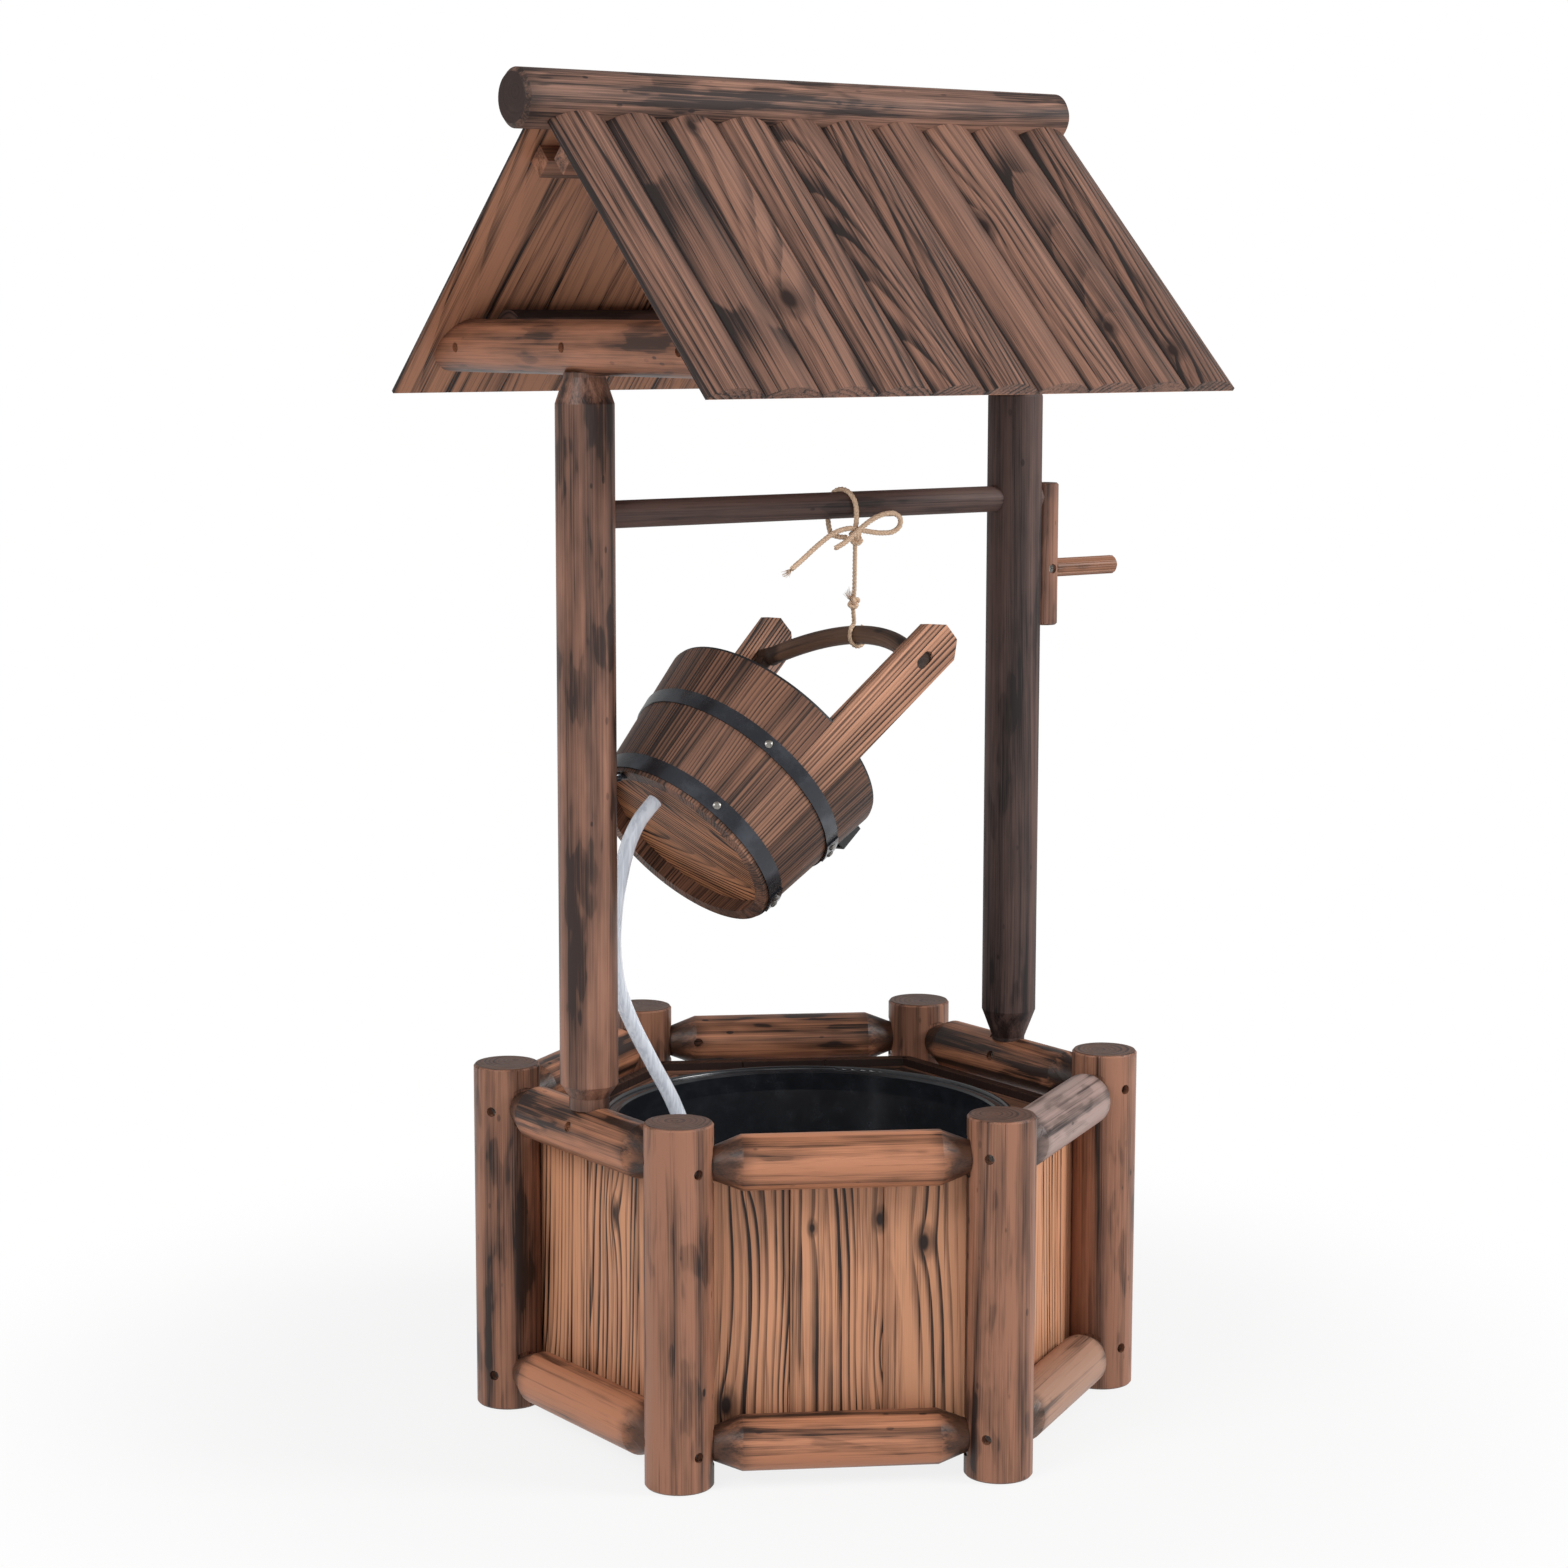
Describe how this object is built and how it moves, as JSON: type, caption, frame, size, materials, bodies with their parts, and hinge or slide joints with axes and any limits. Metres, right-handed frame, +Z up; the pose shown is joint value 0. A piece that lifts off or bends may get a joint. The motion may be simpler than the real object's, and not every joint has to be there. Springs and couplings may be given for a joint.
{
  "type": "wishing well fountain",
  "caption": "Hexagonal log wishing well fountain with a plank roof, a windlass with a crank, a black basin and a tipped bucket that a pump and hose keep pouring.",
  "frame": {"origin": "centre of the hexagonal base on the ground, at the foot ring of the basin", "axes": "+Z up, +X along the ridge and the windlass axle toward the crank, +Y to the far side"},
  "size_m": [0.632, 0.574, 1.12],
  "materials": {
    "log_brown": "stained and scorched fir logs, satin",
    "board_light": "scorched light fir boards, satin",
    "post_brown": "stained fir, satin",
    "post_dark": "dark stained fir, satin",
    "ridge_wood": "stained fir, matte",
    "roof_wood": "dark stained half round planks, matte",
    "handle_wood": "ribbed dowel, satin",
    "bucket_wood": "grooved brown staves, satin",
    "basin_black": "gloss black",
    "liner_black": "gloss black",
    "pump_black": "matte black",
    "impeller_plastic": "matte",
    "foot_rubber": "matte black",
    "hose_clear": "clear soft tube",
    "hoop_iron": "slate grey semi gloss",
    "screw_steel": "zinc plated",
    "twine": "laid jute twine"
  },
  "bodies": {
    "well": {"corner_post_1": "log_brown", "corner_post_2": "log_brown", "corner_post_3": "log_brown", "corner_post_4": "log_brown", "corner_post_5": "log_brown", "corner_post_6": "log_brown", "upper_rail_1": "log_brown", "upper_rail_2": "log_brown", "upper_rail_3": "log_brown", "upper_rail_4": "log_brown", "upper_rail_5": "log_brown", "upper_rail_6": "log_brown", "lower_rail_1": "log_brown", "lower_rail_2": "log_brown", "lower_rail_3": "log_brown", "lower_rail_4": "log_brown", "lower_rail_5": "log_brown", "lower_rail_6": "log_brown", "side_panel_1": "board_light", "side_panel_2": "board_light", "side_panel_3": "board_light", "side_panel_4": "board_light", "side_panel_5": "board_light", "side_panel_6": "board_light", "panel_cleats": "log_brown", "basin_ledge": "log_brown", "basin": "basin_black", "base_screws": "screw_steel", "well_post_left": "post_brown", "well_post_right": "post_dark", "tie_beam_left": "post_brown", "tie_beam_right": "post_dark", "frame_screws": "screw_steel", "ridge_log": "ridge_wood", "roof_battens": "log_brown", "roof_purlins": "post_dark", "roof_front": "roof_wood", "roof_back": "roof_wood", "bucket_staves": "bucket_wood", "ear_stave_front": "bucket_wood", "ear_stave_back": "bucket_wood", "bucket_bottom": "bucket_wood", "bucket_liner": "liner_black", "hoop_upper": "hoop_iron", "hoop_lower": "hoop_iron", "hoop_rivets": "screw_steel", "bail": "post_dark", "bucket_spacer": "hoop_iron", "pump_body": "pump_black", "pump_cover": "pump_black", "pump_feet": "foot_rubber", "hose": "hose_clear", "rope_sling": "twine", "rope_bow": "twine", "rope_drop": "twine"},
    "windlass": {"windlass_axle": "post_dark", "crank_arm": "post_brown", "crank_handle": "handle_wood", "crank_pins": "screw_steel"},
    "impeller": {"pump_impeller": "impeller_plastic"}
  },
  "joints": [
    {"name": "windlass_turn", "type": "hinge", "parent": "well", "child": "windlass", "pos_m": [0, 0, 0.7699], "axis": [1, 0, 0], "continuous": true},
    {"name": "pump_spin", "type": "hinge", "parent": "well", "child": "impeller", "pos_m": [-0.042, 0.04, 0.0321], "axis": [1, 0, 0], "continuous": true}
  ]
}
